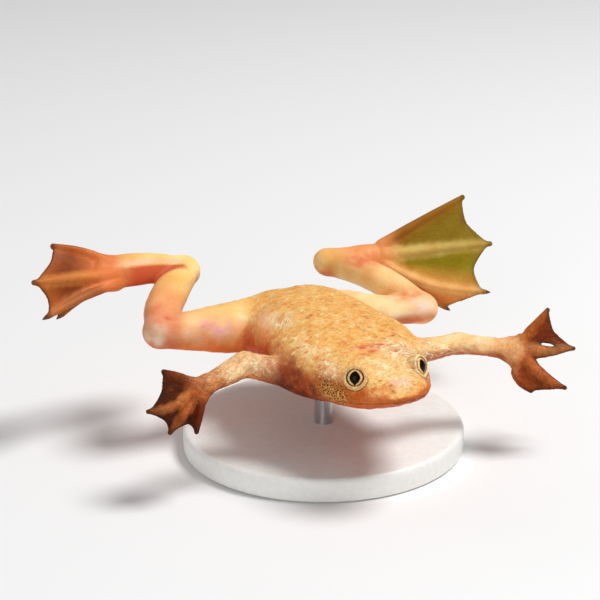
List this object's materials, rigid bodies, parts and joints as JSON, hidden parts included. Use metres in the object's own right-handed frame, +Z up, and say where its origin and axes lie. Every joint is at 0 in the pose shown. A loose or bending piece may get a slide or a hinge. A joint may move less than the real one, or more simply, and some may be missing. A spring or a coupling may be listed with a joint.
{
  "type": "african dwarf frog",
  "caption": "Still life-size model of a small webbed aquatic frog swimming with spread limbs, held on a plain round display stand.",
  "frame": {"origin": "middle of the underside of the stand's base", "axes": "+Z up; the frog looks along -Y; its left side, with its left limbs, is at +X"},
  "size_m": [0.0617, 0.0422, 0.0239],
  "materials": {
    "golden_skin": "wet satin, golden peach with pale mottling",
    "peach_skin": "wet satin, peach with pink and grey patches",
    "brown_web": "wet satin, dark red-brown web with lighter fingers",
    "olive_web": "wet satin, thin brown and olive web with peach toes",
    "dark_eye": "glossy, dark pupil with a pale gold ring",
    "stand_white": "plain satin off-white",
    "stand_steel": "plain satin steel"
  },
  "bodies": {
    "root": {"head": "golden_skin", "torso": "golden_skin", "eye_left": "dark_eye", "eye_right": "dark_eye", "upper_arm_left": "peach_skin", "upper_arm_right": "peach_skin", "forearm_left": "peach_skin", "forearm_right": "peach_skin", "hand_left": "brown_web", "hand_right": "brown_web", "thigh_left": "peach_skin", "thigh_right": "peach_skin", "shank_left": "peach_skin", "shank_right": "peach_skin", "foot_left": "olive_web", "foot_right": "olive_web", "stand_base": "stand_white", "stand_rod": "stand_steel"}
  },
  "joints": []
}
